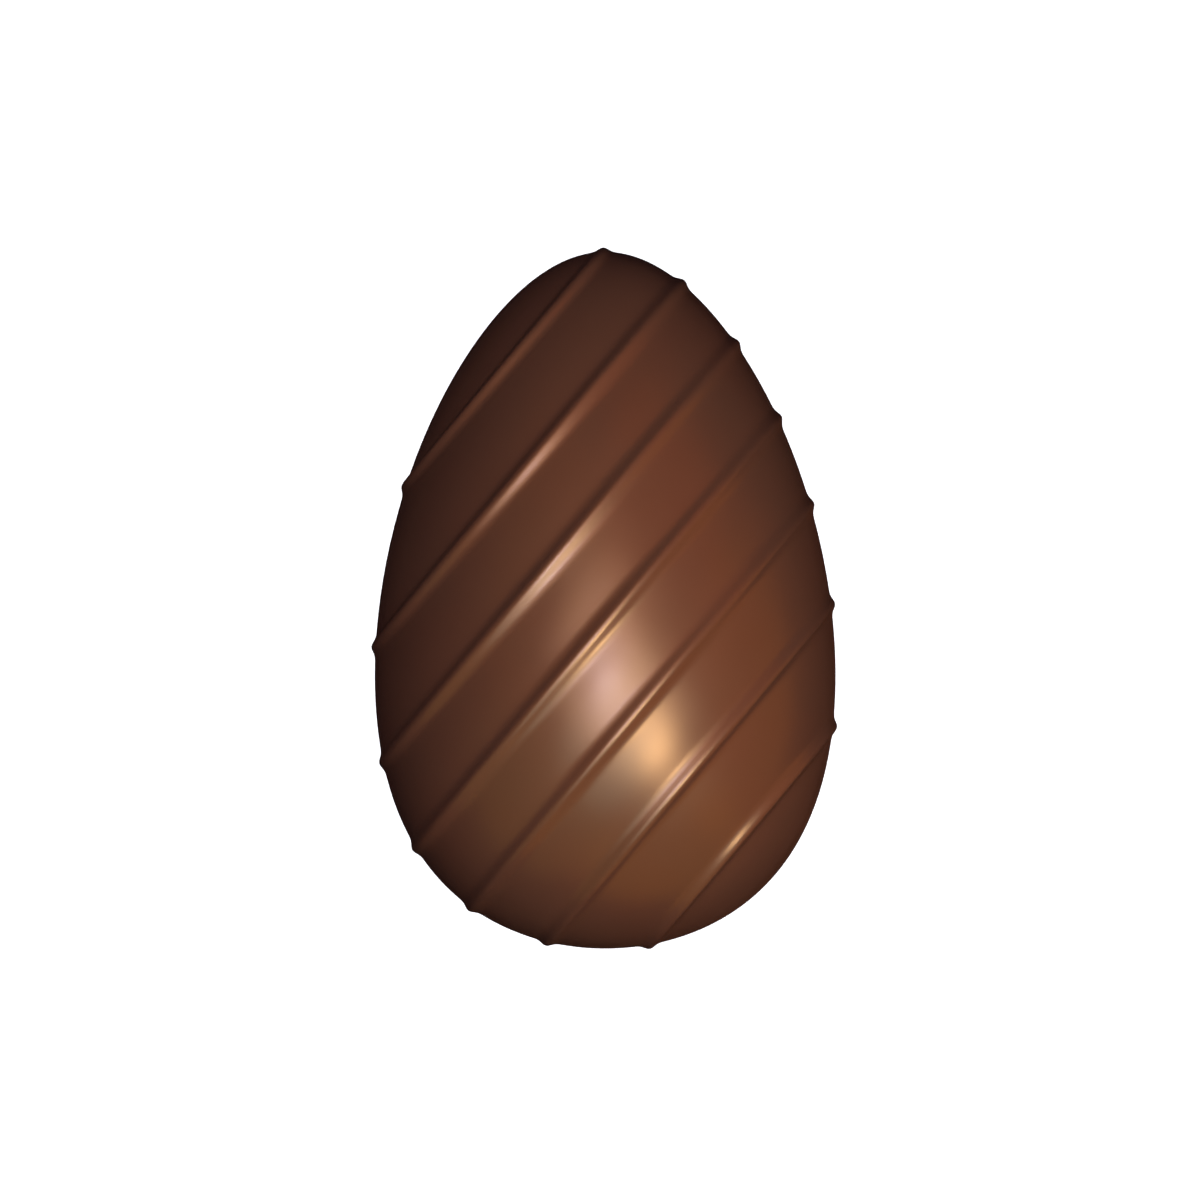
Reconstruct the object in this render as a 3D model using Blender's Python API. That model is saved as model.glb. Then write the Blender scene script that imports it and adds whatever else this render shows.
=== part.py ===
"""A moulded milk chocolate egg with seven slanting ridges, lying on its side.

Metres, +Z up. The egg's long axis lies along Y with the narrow end at +Y, and the face that
is looked at is up. The origin is under the middle of the egg, on the surface it rests on.

The bare egg is a turned form. Seven rounded ridges run round it as closed rings. Each ring
lies in an upright plane, so from above the ridges look like straight, parallel lines, evenly
spaced, that climb to the right. A mould in two half shells gives such a pattern: the lines of
one half meet those of the other at the seam.
"""
import bpy
import bmesh
from math import acos, atan2, cos, exp, pi, radians, sin, sqrt, tan
from mathutils import Vector

# The bare egg is turned about Y, from t = -1 at the blunt end to t = 1 at the narrow end:
# radius = GIRTH * sqrt(1 - t^2) * (1 + C1 t + C2 t^2 + C3 t^3).
EGG_LENGTH = 0.150
GIRTH = 0.0485
C1 = -0.205
C2 = 0.056
C3 = -0.059

# The ridges are rings in parallel upright planes, with a bell-shaped cross-section. They are
# fullest on the two faces and a little lower and slimmer at the seam, where the mould parts.
RIDGE_COUNT = 7
RIDGE_PITCH = 0.01726
MIDDLE_RIDGE_OFFSET = 0.0032
RIDGE_SLOPE = radians(49.9)
RIDGE_HEIGHT = 0.00123
RIDGE_SPREAD = 0.00124
SEAM_RIDGE_HEIGHT = 0.00085
SEAM_RIDGE_SPREAD = 0.00100
RIDGE_REACH = 0.0034

# The flat spot that it rests on is cut this far into the bare belly.
REST_DEPTH = 0.0008
SNAP_TO_FLAT = 0.00003

# Milk chocolate, as a linear colour.
CHOCOLATE = (0.150, 0.056, 0.028, 1.0)
CHOCOLATE_ROUGHNESS = 0.32

# Mesh density: points round a ring, where the rings of a ridge lie as shares of its reach,
# and how many steps cross the bare stretch between two ridges and the cap at each end.
RING_POINTS = 64
RIDGE_RINGS = (-1.0, -0.56, -0.27, 0.0, 0.27, 0.56, 1.0)
GAP_STEPS = 3
CAP_STEPS = 5

HALF_LENGTH = EGG_LENGTH / 2
BISECTION_STEPS = 50

# The ridge planes face along ACROSS, and their rings lie in ALONG and UP.
ACROSS = Vector((sin(RIDGE_SLOPE), -cos(RIDGE_SLOPE), 0.0))
ALONG = Vector((cos(RIDGE_SLOPE), sin(RIDGE_SLOPE), 0.0))
UP = Vector((0.0, 0.0, 1.0))


def clear_scene():
    """Take out the objects that a new file starts with."""
    for old in list(bpy.data.objects):
        bpy.data.objects.remove(old, do_unlink=True)


def outline(t):
    """The bare egg's radius at t, and its change for each metre along the axis."""
    round_part = sqrt(max(1 - t * t, 1e-12))
    taper = 1 + C1 * t + C2 * t ** 2 + C3 * t ** 3
    taper_change = C1 + 2 * C2 * t + 3 * C3 * t ** 2
    radius = GIRTH * round_part * taper
    change = GIRTH * (round_part * taper_change - t / round_part * taper)
    return radius, change / HALF_LENGTH


def where_change_is(target):
    """The t at which the outline's change along the axis has the given value."""
    low, high = -1.0, 1.0
    for _ in range(BISECTION_STEPS):
        t = (low + high) / 2
        _, change = outline(t)
        if change > target:
            low = t
        else:
            high = t
    return t


def pole(side):
    """The point that sticks out furthest along ACROSS (side 1) or against it (side -1)."""
    t = where_change_is(side / tan(RIDGE_SLOPE))
    radius, _ = outline(t)
    return Vector((side * radius, t * HALF_LENGTH, 0.0))


def is_inside(point):
    """Whether a point is inside the bare egg, which has its middle at the origin."""
    t = point.y / HALF_LENGTH
    if abs(t) >= 1:
        return False
    radius, _ = outline(t)
    return point.x ** 2 + point.z ** 2 < radius ** 2


def normal_at(point):
    """The outward direction at a point on the bare egg."""
    radius, change = outline(point.y / HALF_LENGTH)
    return Vector((point.x, -radius * change, point.z)).normalized()


FIRST_POLE = pole(-1)
LAST_POLE = pole(1)
FIRST_OFFSET = FIRST_POLE.dot(ACROSS)
LAST_OFFSET = LAST_POLE.dot(ACROSS)


def surface_point(offset, turn):
    """The bare egg's point in the plane at this offset along ACROSS, at this turn round it."""
    share = (offset - FIRST_OFFSET) / (LAST_OFFSET - FIRST_OFFSET)
    centre = FIRST_POLE.lerp(LAST_POLE, share)
    direction = ALONG * cos(turn) + UP * sin(turn)
    low, high = 0.0, EGG_LENGTH
    for _ in range(BISECTION_STEPS):
        reach = (low + high) / 2
        if is_inside(centre + direction * reach):
            low = reach
        else:
            high = reach
    return centre + direction * reach


def ridge_offset(ridge):
    """How far along ACROSS the plane of a ridge lies from the egg's middle."""
    return MIDDLE_RIDGE_OFFSET + (ridge - RIDGE_COUNT // 2) * RIDGE_PITCH


def lean(ridge, turn):
    """How much of a step over the surface, square to a ridge, goes along ACROSS."""
    facing = normal_at(surface_point(ridge_offset(ridge), turn)).dot(ACROSS)
    return sqrt(1 - facing ** 2)


def ridge_rise(distance, normal):
    """How far a ridge stands out, at a distance from its crest over the surface."""
    fullness = sqrt(abs(normal.z))
    height = SEAM_RIDGE_HEIGHT + (RIDGE_HEIGHT - SEAM_RIDGE_HEIGHT) * fullness
    spread = SEAM_RIDGE_SPREAD + (RIDGE_SPREAD - SEAM_RIDGE_SPREAD) * fullness
    return height * exp(-distance ** 2 / (2 * spread ** 2))


def foot_offset(ridge, side, leans):
    """Where a ridge ends on one side, or the pole for a ridge number past either end."""
    if ridge < 0:
        return FIRST_OFFSET
    if ridge >= RIDGE_COUNT:
        return LAST_OFFSET
    return ridge_offset(ridge) + side * RIDGE_REACH * leans[ridge]


def bare_offsets(ridge, leans):
    """The offsets of the rings strictly between a ridge and the next one, or a pole."""
    start = foot_offset(ridge, 1, leans)
    end = foot_offset(ridge + 1, -1, leans)
    if ridge < 0:
        shares = [(step / CAP_STEPS) ** 2 for step in range(1, CAP_STEPS)]
    elif ridge == RIDGE_COUNT - 1:
        shares = [1 - (1 - step / CAP_STEPS) ** 2 for step in range(1, CAP_STEPS)]
    else:
        shares = [step / GAP_STEPS for step in range(1, GAP_STEPS)]
    return [start + (end - start) * share for share in shares]


def meridian(turn):
    """The surface points from pole to pole at one turn, with the ridges raised."""
    leans = [lean(ridge, turn) for ridge in range(RIDGE_COUNT)]
    points = [surface_point(offset, turn) for offset in bare_offsets(-1, leans)]
    for ridge in range(RIDGE_COUNT):
        for place in RIDGE_RINGS:
            distance = place * RIDGE_REACH
            base = surface_point(ridge_offset(ridge) + distance * leans[ridge], turn)
            normal = normal_at(base)
            points.append(base + normal * ridge_rise(distance, normal))
        points += [surface_point(offset, turn) for offset in bare_offsets(ridge, leans)]
    return points


def shape_egg(mesh_maker):
    """Turn a ball whose poles are on Z into the ridged egg."""
    meridians = [meridian(2 * pi * step / RING_POINTS) for step in range(RING_POINTS)]
    ring_count = len(meridians[0])
    bmesh.ops.create_uvsphere(
        mesh_maker, u_segments=RING_POINTS, v_segments=ring_count + 1, radius=1.0)
    for vertex in mesh_maker.verts:
        ring = round((1 - acos(max(-1.0, min(1.0, vertex.co.z))) / pi) * (ring_count + 1))
        step = round(atan2(vertex.co.y, vertex.co.x) / (2 * pi) * RING_POINTS) % RING_POINTS
        if ring == 0:
            vertex.co = FIRST_POLE
        elif ring > ring_count:
            vertex.co = LAST_POLE
        else:
            vertex.co = meridians[step][ring - 1]


def cut_resting_spot(mesh_maker):
    """Cut the flat under the belly, and move the egg so that this flat lies at Z = 0."""
    belly, _ = outline(where_change_is(0.0))
    bmesh.ops.translate(mesh_maker, vec=UP * (belly - REST_DEPTH), verts=mesh_maker.verts)
    for vertex in mesh_maker.verts:
        if abs(vertex.co.z) < SNAP_TO_FLAT:
            vertex.co.z = 0.0
    everything = mesh_maker.verts[:] + mesh_maker.edges[:] + mesh_maker.faces[:]
    bmesh.ops.bisect_plane(
        mesh_maker, geom=everything, plane_co=(0, 0, 0), plane_no=UP, clear_inner=True)
    rim = [edge for edge in mesh_maker.edges if edge.is_boundary]
    flat = bmesh.ops.contextual_create(mesh_maker, geom=rim)["faces"]
    for face in mesh_maker.faces:
        face.smooth = True
    for edge in flat[0].edges:
        edge.smooth = False


def centre_over_origin(mesh_maker):
    """Move the egg sideways so that the middle of its length and width is over the origin."""
    xs = [vertex.co.x for vertex in mesh_maker.verts]
    ys = [vertex.co.y for vertex in mesh_maker.verts]
    middle = Vector((min(xs) + max(xs), min(ys) + max(ys), 0.0)) / 2
    bmesh.ops.translate(mesh_maker, vec=-middle, verts=mesh_maker.verts)


def chocolate_material():
    """Plain milk chocolate with a soft shine."""
    material = bpy.data.materials.new("milk_chocolate")
    material.use_nodes = True
    shader = material.node_tree.nodes["Principled BSDF"]
    shader.inputs["Base Color"].default_value = CHOCOLATE
    shader.inputs["Roughness"].default_value = CHOCOLATE_ROUGHNESS
    shader.inputs["Metallic"].default_value = 0.0
    return material


def build_egg(collection):
    """The whole egg, as one solid."""
    mesh_maker = bmesh.new()
    shape_egg(mesh_maker)
    cut_resting_spot(mesh_maker)
    centre_over_origin(mesh_maker)
    bmesh.ops.recalc_face_normals(mesh_maker, faces=mesh_maker.faces)
    mesh = bpy.data.meshes.new("chocolate_egg")
    mesh_maker.to_mesh(mesh)
    mesh_maker.free()
    mesh.materials.append(chocolate_material())
    egg = bpy.data.objects.new("chocolate_egg", mesh)
    collection.objects.link(egg)


def main():
    clear_scene()
    collection = bpy.data.collections.new("ridged chocolate egg")
    bpy.context.scene.collection.children.link(collection)
    build_egg(collection)


main()
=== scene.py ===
# %% [markdown]
# # A ridged milk chocolate egg
#
# An egg like this is usually a thin shell of milk chocolate, cast in a polished mould with two
# halves. The mould gives it a smooth, softly shining skin and seven raised ridges. The photo
# shows one face, and the ridges are taken to run round the back as closed rings. There is no
# other detail, so everything depends on three things: a true outline, ridges with the right
# cross-section, and a finish that catches the light as chocolate does.

# %% Load the fixed frame
from math import acos, atan2, cos, degrees, exp, pi, radians, sin, sqrt, tan

import bmesh
import bpy
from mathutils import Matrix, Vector


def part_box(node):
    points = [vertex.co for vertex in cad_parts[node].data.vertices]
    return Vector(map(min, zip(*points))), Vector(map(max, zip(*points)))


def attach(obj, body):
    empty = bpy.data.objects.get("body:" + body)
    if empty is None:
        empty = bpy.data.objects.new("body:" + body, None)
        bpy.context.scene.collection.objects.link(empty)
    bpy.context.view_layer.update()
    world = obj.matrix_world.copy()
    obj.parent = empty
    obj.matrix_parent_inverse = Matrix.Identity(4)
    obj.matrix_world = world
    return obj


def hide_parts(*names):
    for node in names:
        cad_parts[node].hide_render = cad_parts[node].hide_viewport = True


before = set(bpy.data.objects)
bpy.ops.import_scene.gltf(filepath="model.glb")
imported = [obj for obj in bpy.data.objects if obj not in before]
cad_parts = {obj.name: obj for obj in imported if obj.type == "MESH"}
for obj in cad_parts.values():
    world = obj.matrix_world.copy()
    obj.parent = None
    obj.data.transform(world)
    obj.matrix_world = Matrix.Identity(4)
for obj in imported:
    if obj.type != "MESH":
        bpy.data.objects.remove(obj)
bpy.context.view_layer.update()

node_low, node_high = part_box("chocolate_egg")
node_size_mm = [round(side * 1000, 1) for side in node_high - node_low]
print("the solid egg measures, in mm:", node_size_mm)

# %% [markdown]
# ## The bare egg
#
# Without its ridges the egg is a turned form, so one curve describes it. An ellipse would be
# alike at both ends. A lathe profile drawn by hand would work too, but it is hard to keep
# smooth. Here an ellipse is multiplied by a short polynomial in t, which runs from -1 at the
# blunt end to 1 at the narrow end. That moves the widest place down and narrows the top, and
# it gives the exact slope everywhere, which the ridges need.

# %% The outline of the bare egg
EGG_LENGTH = 0.150
HALF_LENGTH = EGG_LENGTH / 2
GIRTH = 0.0485
C1 = -0.205
C2 = 0.056
C3 = -0.059
BISECTION_STEPS = 34
LEAST_AT_THE_ENDS = 1e-12


def outline(t):
    """The bare egg's radius at t, and its change for each metre along the axis."""
    round_part = sqrt(max(1 - t * t, LEAST_AT_THE_ENDS))
    taper = 1 + C1 * t + C2 * t ** 2 + C3 * t ** 3
    taper_change = C1 + 2 * C2 * t + 3 * C3 * t ** 2
    radius = GIRTH * round_part * taper
    change = GIRTH * (round_part * taper_change - t / round_part * taper)
    return radius, change / HALF_LENGTH


def where_change_is(target):
    """The t at which the outline's change along the axis has the given value."""
    low, high = -1.0, 1.0
    for _ in range(BISECTION_STEPS):
        t = (low + high) / 2
        if outline(t)[1] > target:
            low = t
        else:
            high = t
    return t


BELLY_T = where_change_is(0.0)
BELLY_RADIUS = outline(BELLY_T)[0]
print("widest at t =", round(BELLY_T, 3), "with radius", round(BELLY_RADIUS * 1000, 2), "mm")

# %% [markdown]
# ## Where the ridges run
#
# Seen from above, the ridges are straight, parallel and evenly spaced. Each makes a small
# bump on the outline at both its ends, so it is a closed ring that lies in an upright plane
# and comes back round the other face. One direction, ACROSS, points square to all seven
# planes, and each plane is then just a distance along it.

# %% The planes of the ridges
RIDGE_COUNT = 7
RIDGE_PITCH = 0.01726
MIDDLE_RIDGE_OFFSET = 0.0032
RIDGE_SLOPE = radians(49.9)

ACROSS = Vector((sin(RIDGE_SLOPE), -cos(RIDGE_SLOPE), 0.0))
ALONG = Vector((cos(RIDGE_SLOPE), sin(RIDGE_SLOPE), 0.0))
UP = Vector((0.0, 0.0, 1.0))


def ridge_offset(ridge):
    """How far along ACROSS the plane of a ridge lies from the egg's middle."""
    return MIDDLE_RIDGE_OFFSET + (ridge - RIDGE_COUNT // 2) * RIDGE_PITCH


planes_mm = [round(ridge_offset(ridge) * 1000, 1) for ridge in range(RIDGE_COUNT)]
print("ridge planes, in mm:", planes_mm)

# %% [markdown]
# ## Walking over the surface in rings
#
# A ball has rings of latitude that close at two poles. If its poles are put where the egg
# last touches the ridge planes, every ring can lie in a plane beside a ridge, and the ridges
# follow the mesh instead of cutting through its faces. Cutting the egg with planes, or
# displacing an ordinary ball, would need far more faces for ridges as smooth as this.
#
# A ring needs the point where a ray from inside meets the skin. Halving an interval again and
# again finds it, and can't fail on a closed, rounded form.

# %% From a plane and a turn to a point on the skin


def pole(side):
    """The point that sticks out furthest along ACROSS (side 1) or against it (side -1)."""
    t = where_change_is(side / tan(RIDGE_SLOPE))
    return Vector((side * outline(t)[0], t * HALF_LENGTH, 0.0))


FIRST_POLE = pole(-1)
LAST_POLE = pole(1)
FIRST_OFFSET = FIRST_POLE.dot(ACROSS)
LAST_OFFSET = LAST_POLE.dot(ACROSS)


def is_inside(x, y, z):
    """Whether a point is inside the bare egg, which has its middle at the origin."""
    t = y / HALF_LENGTH
    return abs(t) < 1 and x * x + z * z < outline(t)[0] ** 2


def normal_at(point):
    """The outward direction at a point on the bare egg."""
    radius, change = outline(point.y / HALF_LENGTH)
    return Vector((point.x, -radius * change, point.z)).normalized()


def surface_point(offset, turn):
    """The bare egg's point in the plane at this offset along ACROSS, at this turn round it."""
    share = (offset - FIRST_OFFSET) / (LAST_OFFSET - FIRST_OFFSET)
    start = FIRST_POLE.lerp(LAST_POLE, share)
    ray = ALONG * cos(turn) + UP * sin(turn)
    low, high = 0.0, EGG_LENGTH
    for _ in range(BISECTION_STEPS):
        reach = (low + high) / 2
        if is_inside(start.x + ray.x * reach, start.y + ray.y * reach, ray.z * reach):
            low = reach
        else:
            high = reach
    return start + ray * reach


for one_pole in (FIRST_POLE, LAST_POLE):
    print("a pole, in mm:", [round(place * 1000, 1) for place in one_pole])

# %% [markdown]
# ## The cross-section of a ridge
#
# On the real egg a ridge is a soft, round-topped swell whose feet melt into the skin. A bell
# curve has just that form. Its distance is measured over the surface and not across the
# plane, so a ridge near an end of the egg, where the skin turns away, stays as slim as one in
# the middle. On the outline, where the mould parts, the ridges are a little lower. On the
# shown face they don't look quite alike either. Heights and spreads were chosen by the light
# and dark beside them, which is less sure than the outline.

# %% How high a ridge stands
RIDGE_HEIGHTS = (0.00129, 0.00123, 0.00113, 0.00123, 0.00123, 0.00124, 0.00132)
RIDGE_SPREADS = (0.00110, 0.00124, 0.00126, 0.00124, 0.00124, 0.00113, 0.00120)
SEAM_RIDGE_HEIGHT = 0.00085
SEAM_RIDGE_SPREAD = 0.00100
RIDGE_REACH = 0.0040


def ridge_rise(ridge, distance, normal):
    """How far a ridge stands out, at a distance from its crest over the surface."""
    fullness = sqrt(abs(normal.z))
    height = SEAM_RIDGE_HEIGHT + (RIDGE_HEIGHTS[ridge] - SEAM_RIDGE_HEIGHT) * fullness
    spread = SEAM_RIDGE_SPREAD + (RIDGE_SPREADS[ridge] - SEAM_RIDGE_SPREAD) * fullness
    return height * exp(-distance ** 2 / (2 * spread ** 2))


def lean(ridge, turn):
    """How much of a step over the surface, square to a ridge, goes along ACROSS."""
    facing = normal_at(surface_point(ridge_offset(ridge), turn)).dot(ACROSS)
    return sqrt(1 - facing ** 2)


steepest = [
    degrees(atan2(height * exp(-0.5), spread))
    for height, spread in zip(RIDGE_HEIGHTS, RIDGE_SPREADS)]
print("steepest flanks, in degrees:", [round(slope, 1) for slope in steepest])

# %% [markdown]
# ## One line from pole to pole
#
# At each turn round the egg the same list of rings is laid out: a few on the cap, many close
# together across each ridge, and fewer on the bare skin between two ridges. The caps take
# their steps by a square, because a ring's distance from its plane grows slowly near a pole.

# %% The points along one line
RING_POINTS = 288
RIDGE_STEPS = 16
GAP_STEPS = 7
CAP_STEPS = 16


def foot_offset(ridge, side, leans):
    """Where a ridge ends on one side, or the pole for a ridge number past either end."""
    if ridge < 0:
        return FIRST_OFFSET
    if ridge >= RIDGE_COUNT:
        return LAST_OFFSET
    return ridge_offset(ridge) + side * RIDGE_REACH * leans[ridge]


def bare_offsets(ridge, leans):
    """The offsets of the rings strictly between a ridge and the next one, or a pole."""
    start = foot_offset(ridge, 1, leans)
    end = foot_offset(ridge + 1, -1, leans)
    if ridge < 0:
        shares = [(step / CAP_STEPS) ** 2 for step in range(1, CAP_STEPS)]
    elif ridge == RIDGE_COUNT - 1:
        shares = [1 - (1 - step / CAP_STEPS) ** 2 for step in range(1, CAP_STEPS)]
    else:
        shares = [step / GAP_STEPS for step in range(1, GAP_STEPS)]
    return [start + (end - start) * share for share in shares]


def line_of_points(turn):
    """The skin's points from pole to pole at one turn, with the ridges raised."""
    leans = [lean(ridge, turn) for ridge in range(RIDGE_COUNT)]
    points = [surface_point(offset, turn) for offset in bare_offsets(-1, leans)]
    for ridge in range(RIDGE_COUNT):
        for step in range(RIDGE_STEPS + 1):
            distance = RIDGE_REACH * (2 * step / RIDGE_STEPS - 1)
            base = surface_point(ridge_offset(ridge) + distance * leans[ridge], turn)
            normal = normal_at(base)
            points.append(base + normal * ridge_rise(ridge, distance, normal))
        points += [surface_point(offset, turn) for offset in bare_offsets(ridge, leans)]
    return points


lines = [line_of_points(2 * pi * step / RING_POINTS) for step in range(RING_POINTS)]
ring_count = len(lines[0])
print("rings:", ring_count, "points:", ring_count * RING_POINTS)

# %% [markdown]
# ## From a ball to the egg
#
# bmesh makes a ball with the same number of rings and segments, already closed and facing
# outwards. Each of its points knows its ring from its height and its turn from its angle, so
# it can be moved to its place on the egg. Nothing has to be stitched together.

# %% Shape the egg
egg_maker = bmesh.new()
bmesh.ops.create_uvsphere(
    egg_maker, u_segments=RING_POINTS, v_segments=ring_count + 1, radius=1.0)
for vertex in egg_maker.verts:
    height = max(-1.0, min(1.0, vertex.co.z))
    ring = round((1 - acos(height) / pi) * (ring_count + 1))
    step = round(atan2(vertex.co.y, vertex.co.x) / (2 * pi) * RING_POINTS) % RING_POINTS
    if ring == 0:
        vertex.co = FIRST_POLE
    elif ring > ring_count:
        vertex.co = LAST_POLE
    else:
        vertex.co = lines[step][ring - 1]
print("faces of the egg:", len(egg_maker.faces))

# %% [markdown]
# ## The spot it rests on
#
# A round egg would rock. A shallow cut under the belly lets it lie still, and it is hidden
# when the egg lies on a table. The egg is lowered first, so that the cut is at the floor, and
# then set over the frame's egg by the middle of its length and width.

# %% Cut the flat and set the egg in its place
REST_DEPTH = 0.0008
SNAP_TO_FLAT = 0.00001

bmesh.ops.translate(egg_maker, vec=UP * (BELLY_RADIUS - REST_DEPTH), verts=egg_maker.verts)
for vertex in egg_maker.verts:
    if abs(vertex.co.z) < SNAP_TO_FLAT:
        vertex.co.z = 0.0
everything = egg_maker.verts[:] + egg_maker.edges[:] + egg_maker.faces[:]
bmesh.ops.bisect_plane(
    egg_maker, geom=everything, plane_co=(0, 0, 0), plane_no=UP, clear_inner=True)
rim = [edge for edge in egg_maker.edges if edge.is_boundary]
flat_face = bmesh.ops.contextual_create(egg_maker, geom=rim)["faces"][0]

xs = [vertex.co.x for vertex in egg_maker.verts]
ys = [vertex.co.y for vertex in egg_maker.verts]
own_middle = Vector((min(xs) + max(xs), min(ys) + max(ys), 0.0)) / 2
frame_middle = Vector((node_low.x + node_high.x, node_low.y + node_high.y, 0.0)) / 2
shift = frame_middle - own_middle + UP * node_low.z
bmesh.ops.translate(egg_maker, vec=shift, verts=egg_maker.verts)
bare_middle = shift + UP * (BELLY_RADIUS - REST_DEPTH)

for face in egg_maker.faces:
    face.smooth = face is not flat_face
for edge in flat_face.edges:
    edge.smooth = False
print("the resting spot covers", round(flat_face.calc_area() * 1e6), "square mm")

# %% [markdown]
# ## From the mesh to an object
#
# A bmesh is only a workbench. Its shape is written into a mesh, and the mesh is put into an
# object that the scene can show. The object stays at the origin, unturned and unscaled,
# because its place is in its points. It stands for the solid egg, which is hidden.

# %% Make the egg an object
bmesh.ops.recalc_face_normals(egg_maker, faces=egg_maker.faces)
egg_mesh = bpy.data.meshes.new("egg_skin")
egg_maker.to_mesh(egg_mesh)
egg_maker.free()
egg = bpy.data.objects.new("egg_skin", egg_mesh)
bpy.context.scene.collection.objects.link(egg)
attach(egg, "root")
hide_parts("chocolate_egg")
print("points of the skin:", len(egg_mesh.vertices))

# %% [markdown]
# ## Milk chocolate
#
# Milk chocolate is a fine mix of cocoa, milk and sugar in cocoa butter. Cast against a
# polished mould it gets a smooth skin with a soft, wide shine. A plain brown would look like
# plastic, so three faint unevennesses are laid over it: slow clouds of colour, a shine that
# varies a little from place to place, and a skin that isn't perfectly even. All of them are
# read from Object coordinates, in metres, so a scale of 40 gives clouds about 25 mm wide.

# %% The chocolate's colours and shine
CHOCOLATE_BROWN = (0.147, 0.0568, 0.0286, 1.0)
CHOCOLATE_WARM = (0.153, 0.0552, 0.0274, 1.0)
CLOUD_SCALE = 40.0
SMEAR_SCALE = 70.0
GRAIN_SCALE = 900.0
ROUGHNESS_LOW = 0.29
ROUGHNESS_HIGH = 0.33
SKIN_DEPTH = 0.00002

chocolate = bpy.data.materials.new("milk_chocolate")
chocolate.use_nodes = True
tree = chocolate.node_tree
shader = tree.nodes["Principled BSDF"]
shader.inputs["Metallic"].default_value = 0.0
shader.inputs["IOR"].default_value = 1.5
shader.inputs["Specular IOR Level"].default_value = 0.5
egg_mesh.materials.append(chocolate)
print("chocolate brown, linear:", CHOCOLATE_BROWN[:3])

# %% Noise that stays on the egg
NOISE_LOW = 0.2
NOISE_HIGH = 0.8
CLOUD_DETAIL = 2.0
FINE_DETAIL = 1.0

coordinates = tree.nodes.new("ShaderNodeTexCoord")


def add_noise(scale, detail):
    """A noise texture on Object coordinates."""
    noise = tree.nodes.new("ShaderNodeTexNoise")
    noise.inputs["Scale"].default_value = scale
    noise.inputs["Detail"].default_value = detail
    tree.links.new(coordinates.outputs["Object"], noise.inputs["Vector"])
    return noise


def spread_out(noise, low, high):
    """Stretch a noise, which keeps near its middle, over the values from low to high."""
    stretch = tree.nodes.new("ShaderNodeMapRange")
    stretch.interpolation_type = "SMOOTHERSTEP"
    stretch.inputs["From Min"].default_value = NOISE_LOW
    stretch.inputs["From Max"].default_value = NOISE_HIGH
    stretch.inputs["To Min"].default_value = low
    stretch.inputs["To Max"].default_value = high
    tree.links.new(noise.outputs["Fac"], stretch.inputs["Value"])
    return stretch


clouds = add_noise(CLOUD_SCALE, CLOUD_DETAIL)
smears = add_noise(SMEAR_SCALE, FINE_DETAIL)
grain = add_noise(GRAIN_SCALE, FINE_DETAIL)
print("clouds about", round(1000 / CLOUD_SCALE), "mm wide")
print("grain about", round(1000 / GRAIN_SCALE, 1), "mm wide")

# %% [markdown]
# ## Clouds, shine and skin
#
# The clouds choose between two browns that are close together, one a little redder. The
# smears set the roughness, between two values that are also close. The grain drives a Bump
# node, whose distance is two hundredths of a millimetre, so the outline stays as it was
# made. A range that ends softly is used, because a hard end would show as a thin line. A Mix
# node has sockets of the same name for numbers and for colours, so the colours' sockets are
# found by their number.

# %% Connect the finish
FIRST_COLOUR = 6
SECOND_COLOUR = 7
MIXED_COLOUR = 2
SKIN_STRENGTH = 0.2

cloud_share = spread_out(clouds, 0.0, 1.0)
browns = tree.nodes.new("ShaderNodeMix")
browns.data_type = "RGBA"
browns.inputs[FIRST_COLOUR].default_value = CHOCOLATE_BROWN
browns.inputs[SECOND_COLOUR].default_value = CHOCOLATE_WARM
tree.links.new(cloud_share.outputs["Result"], browns.inputs["Factor"])
tree.links.new(browns.outputs[MIXED_COLOUR], shader.inputs["Base Color"])

roughness = spread_out(smears, ROUGHNESS_LOW, ROUGHNESS_HIGH)
tree.links.new(roughness.outputs["Result"], shader.inputs["Roughness"])

skin = tree.nodes.new("ShaderNodeBump")
skin.inputs["Strength"].default_value = SKIN_STRENGTH
skin.inputs["Distance"].default_value = SKIN_DEPTH
tree.links.new(grain.outputs["Fac"], skin.inputs["Height"])
tree.links.new(skin.outputs["Normal"], shader.inputs["Normal"])
print("nodes in the chocolate:", len(tree.nodes))

# %% [markdown]
# ## The camera
#
# The photo shows the egg upright, square on, with almost no perspective. Here the egg lies
# down with that face up, so the camera looks straight down, with the egg's narrow end at the
# top of the picture. A long lens far away keeps the ridges straight and evenly spaced. From
# nearer by, the ridges halfway out would move outwards by a pixel or more. The egg's place in
# the photo is measured from the picture's edges, at the middle of the bare egg.

# %% Place the camera
PHOTO_WIDTH = 1200
EGG_LENGTH_IN_PHOTO = 697.0
EGG_MIDDLE_IN_PHOTO = (605.2, 600.2)
CAMERA_DISTANCE = 12.0
SENSOR_WIDTH = 36.0

metres_per_pixel = EGG_LENGTH / EGG_LENGTH_IN_PHOTO
frame_width = PHOTO_WIDTH * metres_per_pixel
camera_data = bpy.data.cameras.new("camera")
camera_data.sensor_width = SENSOR_WIDTH
camera_data.lens = SENSOR_WIDTH * CAMERA_DISTANCE / frame_width
camera = bpy.data.objects.new("camera", camera_data)
right_of_middle = (PHOTO_WIDTH / 2 - EGG_MIDDLE_IN_PHOTO[0]) * metres_per_pixel
above_middle = (EGG_MIDDLE_IN_PHOTO[1] - PHOTO_WIDTH / 2) * metres_per_pixel
camera.location = bare_middle + Vector((right_of_middle, above_middle, CAMERA_DISTANCE))
bpy.context.scene.collection.objects.link(camera)
bpy.context.scene.camera = camera
print("lens:", round(camera_data.lens), "mm; picture width:", round(frame_width * 1000), "mm")

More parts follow.
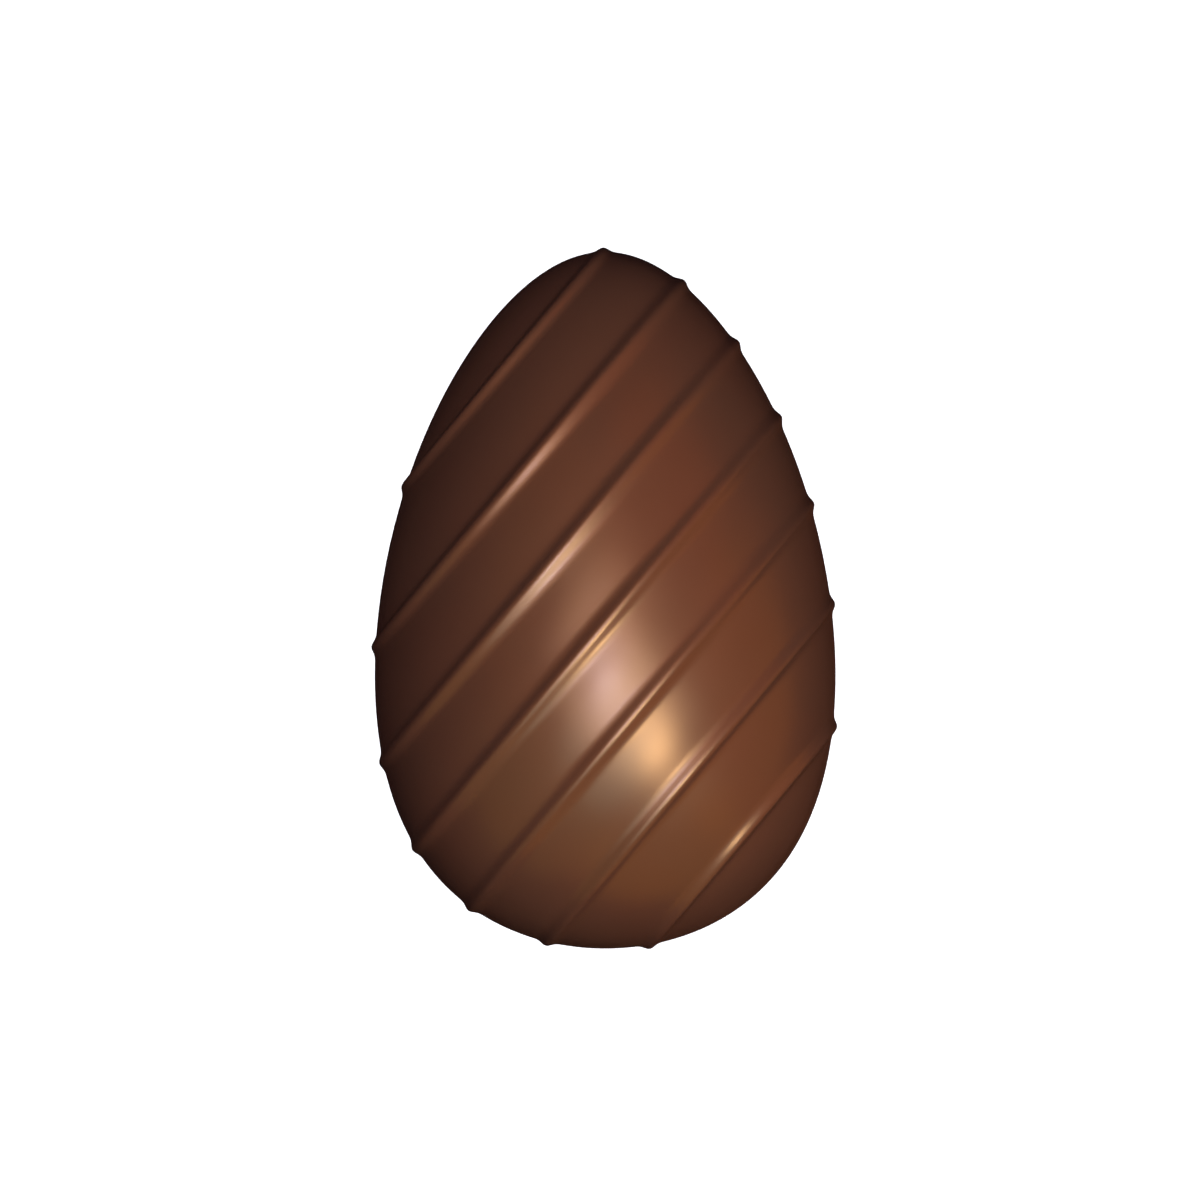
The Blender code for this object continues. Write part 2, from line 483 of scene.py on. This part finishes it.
# %% [markdown]
# ## The lights
#
# Chocolate shows its form by its shine. Large round lights give soft shines, and smaller ones
# give brighter patches. Each is placed by how far it leans from the camera's line and by the
# compass direction in which it leans, where 0 is the picture's right and 90 is its top. Its
# strength is given as the light that arrives at the egg.
#
# A photographer can part the light that shines off a skin from the light that comes out of
# it, with polarising filters. Here each light feeds only one of the two. White lights feed the
# brown body, and the warm lights feed the shine alone. None of them casts a shadow, because in
# the photo no ridge throws one on the skin beside it.

# %% A helper for round studio lights
LIGHT_DISTANCE = 1.2


def add_round_light(name, feeds, tilt, compass, radius, light):
    """A round light that leans from the camera's line by tilt, and feeds body or shine."""
    strength = max(light)
    data = bpy.data.lights.new(name, "AREA")
    data.shape = "DISK"
    data.size = 2 * radius
    data.energy = strength * pi * LIGHT_DISTANCE ** 2
    data.color = [channel / strength for channel in light]
    lamp = bpy.data.objects.new(name, data)
    direction = Vector((
        sin(radians(tilt)) * cos(radians(compass)),
        sin(radians(tilt)) * sin(radians(compass)),
        cos(radians(tilt))))
    lamp.location = bare_middle + direction * LIGHT_DISTANCE
    lamp.rotation_mode = "QUATERNION"
    lamp.rotation_quaternion = direction.to_track_quat("Z", "Y")
    data.use_shadow = False
    lamp.visible_camera = False
    lamp.visible_diffuse = feeds == "body"
    lamp.visible_glossy = feeds == "shine"
    bpy.context.scene.collection.objects.link(lamp)
    print(name, "power in watts:", round(data.energy, 2))


# %% Lights for the brown body
BODY_RADIUS = 0.300
GLOW_RADIUS = 0.750

add_round_light("key_light", "body", 35.5, -36.8, BODY_RADIUS, (1.46, 1.46, 1.46))
add_round_light("head_light", "body", 9.3, 160.1, BODY_RADIUS, (1.02, 1.02, 1.02))
add_round_light("floor_bounce", "body", 180.0, 0.0, GLOW_RADIUS, (0.9, 0.9, 0.9))

# %% Lights for the shine
add_round_light("large_shine", "shine", 16.2, -39.8, 0.321, (1.940, 1.450, 0.820))
add_round_light("rosy_shine", "shine", 3.5, 144.0, 0.430, (1.760, 0.945, 0.380))
add_round_light("small_shine", "shine", 3.5, -60.0, 0.157, (0.720, 0.590, 0.720))
add_round_light("golden_shine", "shine", 32.5, -36.9, 0.139, (2.230, 1.320, 0.560))
add_round_light("lower_shine", "shine", 22.0, -92.0, 0.430, (0.500, 0.630, 0.460))
add_round_light("upper_glow", "shine", 32.8, 150.8, GLOW_RADIUS, (0.335, 0.095, 0.000))
add_round_light("lower_glow", "shine", 57.1, -126.6, GLOW_RADIUS, (0.600, 0.340, 0.053))
add_round_light("corner_glow", "shine", 73.2, -64.6, GLOW_RADIUS, (0.990, 0.370, 0.000))
add_round_light("right_glow", "shine", 42.0, 40.2, GLOW_RADIUS, (0.835, 0.130, 0.000))
add_round_light("edge_glow", "shine", 74.6, -11.7, GLOW_RADIUS, (1.100, 0.280, 0.000))

# %% [markdown]
# ## Floor and surroundings
#
# The photo has a plain white ground without a shadow. A pale floor that also glows a little
# stays white beside the egg. It is hidden from reflections and casts no shadow, because the
# photo's egg has dark edges, as it has in front of a dark room, and because the light that a
# pale floor would throw back comes from a light of its own, under it.

# %% Lay the floor
FLOOR_SIZE = 6.0
FLOOR_PALE = (0.9, 0.9, 0.9, 1.0)
FLOOR_GLOW = 0.8
WHITE = (1.0, 1.0, 1.0, 1.0)

floor_maker = bmesh.new()
bmesh.ops.create_grid(floor_maker, x_segments=1, y_segments=1, size=FLOOR_SIZE / 2)
floor_mesh = bpy.data.meshes.new("floor")
floor_maker.to_mesh(floor_mesh)
floor_maker.free()
floor = bpy.data.objects.new("floor", floor_mesh)
bpy.context.scene.collection.objects.link(floor)
floor.visible_diffuse = False
floor.visible_glossy = False
floor.visible_shadow = False

floor_paint = bpy.data.materials.new("floor_paint")
floor_paint.use_nodes = True
floor_shader = floor_paint.node_tree.nodes["Principled BSDF"]
floor_shader.inputs["Base Color"].default_value = FLOOR_PALE
floor_shader.inputs["Roughness"].default_value = 1.0
floor_shader.inputs["Specular IOR Level"].default_value = 0.0
floor_shader.inputs["Emission Color"].default_value = WHITE
floor_shader.inputs["Emission Strength"].default_value = FLOOR_GLOW
floor_mesh.materials.append(floor_paint)
print("floor width:", FLOOR_SIZE, "m")

# %% [markdown]
# ## The room
#
# Light from all round fills the darkest parts of the brown body. Here it is faint and bluish,
# and it is kept out of reflections, which the round lights make alone. What the camera sees
# past the floor is plain white, so the world holds two backgrounds, and the kind of ray
# chooses between them.

# %% The room's own light
ROOM_LIGHT = (0.05, 0.055, 0.14, 1.0)
FIRST_SHADER = 1
SECOND_SHADER = 2

room = bpy.data.worlds.new("room")
room.use_nodes = True
room_tree = room.node_tree
soft_light = room_tree.nodes["Background"]
soft_light.inputs["Color"].default_value = ROOM_LIGHT
backdrop = room_tree.nodes.new("ShaderNodeBackground")
backdrop.inputs["Color"].default_value = WHITE
seen_or_not = room_tree.nodes.new("ShaderNodeLightPath")
choose = room_tree.nodes.new("ShaderNodeMixShader")
room_tree.links.new(seen_or_not.outputs["Is Camera Ray"], choose.inputs["Fac"])
room_tree.links.new(soft_light.outputs["Background"], choose.inputs[FIRST_SHADER])
room_tree.links.new(backdrop.outputs["Background"], choose.inputs[SECOND_SHADER])
room_tree.links.new(choose.outputs["Shader"], room_tree.nodes["World Output"].inputs["Surface"])
room.cycles_visibility.glossy = False
bpy.context.scene.world = room
bpy.context.scene.view_settings.view_transform = "Standard"
print("the room's own light:", ROOM_LIGHT[:3])
